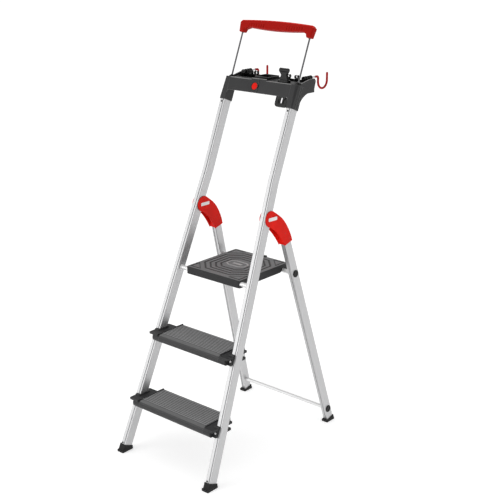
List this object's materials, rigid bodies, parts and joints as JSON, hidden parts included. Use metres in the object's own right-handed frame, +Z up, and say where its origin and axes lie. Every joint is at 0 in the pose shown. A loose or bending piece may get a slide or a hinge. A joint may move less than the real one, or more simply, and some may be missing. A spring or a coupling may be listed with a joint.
{
  "type": "folding step stool",
  "caption": "Folding aluminium step stool with ribbed treads, hinged platform, tool tray, bucket hooks and a grab bar.",
  "frame": {"origin": "middle of the bottom of the whole object, on the floor", "axes": "+Z up, +Y from the user's side to the rear legs, +X to the user's right; left and right mirror across X = 0"},
  "size_m": [0.4484, 0.739, 1.496],
  "materials": {
    "stile_aluminium": "extruded, brushed along its length, satin anodised",
    "tube_aluminium": "drawn tube, satin",
    "tread_coating": "ribbed extrusion with a dark grey coating",
    "cap_plastic": "fine moulded grain",
    "deck_plastic": "fine moulded grain with a ribbed pattern",
    "tray_plastic": "fine moulded grain",
    "black_plastic": "smooth moulded",
    "foot_rubber": "matte",
    "red_plastic": "satin moulded",
    "hook_coating": "dipped, glossy",
    "bright_steel": "zinc plated",
    "rod_steel": "drawn rod, dull",
    "dark_screw": "blackened",
    "white_mark": "plain"
  },
  "bodies": {
    "front_frame": {"stile_left": "stile_aluminium", "stile_right": "stile_aluminium", "foot_front_left": "foot_rubber", "foot_front_right": "foot_rubber", "foot_screws_front": "dark_screw", "tread_lower": "tread_coating", "tread_upper": "tread_coating", "step_cap_lower_left": "cap_plastic", "step_cap_lower_right": "cap_plastic", "step_cap_upper_left": "cap_plastic", "step_cap_upper_right": "cap_plastic", "step_rivets": "bright_steel", "platform_tube": "tube_aluminium", "hinge_pin_left": "bright_steel", "hinge_pin_right": "bright_steel", "hinge_washers": "bright_steel", "tray_frame": "tray_plastic", "rod_collar_left": "black_plastic", "rod_collar_right": "black_plastic", "fascia_badge": "red_plastic", "badge_ring": "black_plastic", "tray_shelf": "tray_plastic", "tray_screws": "dark_screw", "tool_loop": "black_plastic", "tool_clip": "black_plastic", "spring_clips": "black_plastic", "tool_cup": "tray_plastic", "hook_socket_left": "black_plastic", "hook_socket_right": "black_plastic"},
    "rear_frame": {"rear_leg_left": "stile_aluminium", "rear_leg_right": "stile_aluminium", "hinge_cover_left": "red_plastic", "hinge_cover_right": "red_plastic", "cover_rivets": "bright_steel", "cover_marks": "white_mark", "rear_tube_upper": "tube_aluminium", "rear_tube_lower": "tube_aluminium", "tube_plugs_upper": "black_plastic", "tube_plugs_lower": "black_plastic", "foot_rear_left": "foot_rubber", "foot_rear_right": "foot_rubber"},
    "platform": {"platform_deck": "deck_plastic", "deck_badge": "deck_plastic"},
    "grab_bar": {"grab_grip": "red_plastic", "grab_rod_left": "rod_steel", "grab_rod_right": "rod_steel"},
    "hook_left": {"hook_rod_left": "bright_steel", "hook_coat_left": "hook_coating"},
    "hook_right": {"hook_rod_right": "bright_steel", "hook_coat_right": "hook_coating"}
  },
  "joints": [
    {"name": "rear_fold", "type": "hinge", "parent": "front_frame", "child": "rear_frame", "pos_m": [0, 0.01895, 0.86201], "axis": [1, 0, 0], "range_deg": [-38.35, 0]},
    {"name": "platform_fold", "type": "hinge", "parent": "front_frame", "child": "platform", "pos_m": [0, -0.08295, 0.645], "axis": [1, 0, 0], "range_deg": [0, 67.9]},
    {"name": "grab_bar_slide", "type": "slide", "parent": "front_frame", "child": "grab_bar", "axis": [0, 0.3762, 0.9265], "range_m": [-0.12, 0]},
    {"name": "hook_left_slide", "type": "slide", "parent": "front_frame", "child": "hook_left", "axis": [0, 1, 0], "range_m": [-0.018, 0]},
    {"name": "hook_right_slide", "type": "slide", "parent": "front_frame", "child": "hook_right", "axis": [0, 1, 0], "range_m": [-0.018, 0]}
  ],
  "couplings": [
    {"joint": "platform_fold", "follows": "rear_fold", "ratio": -1.7705}
  ]
}
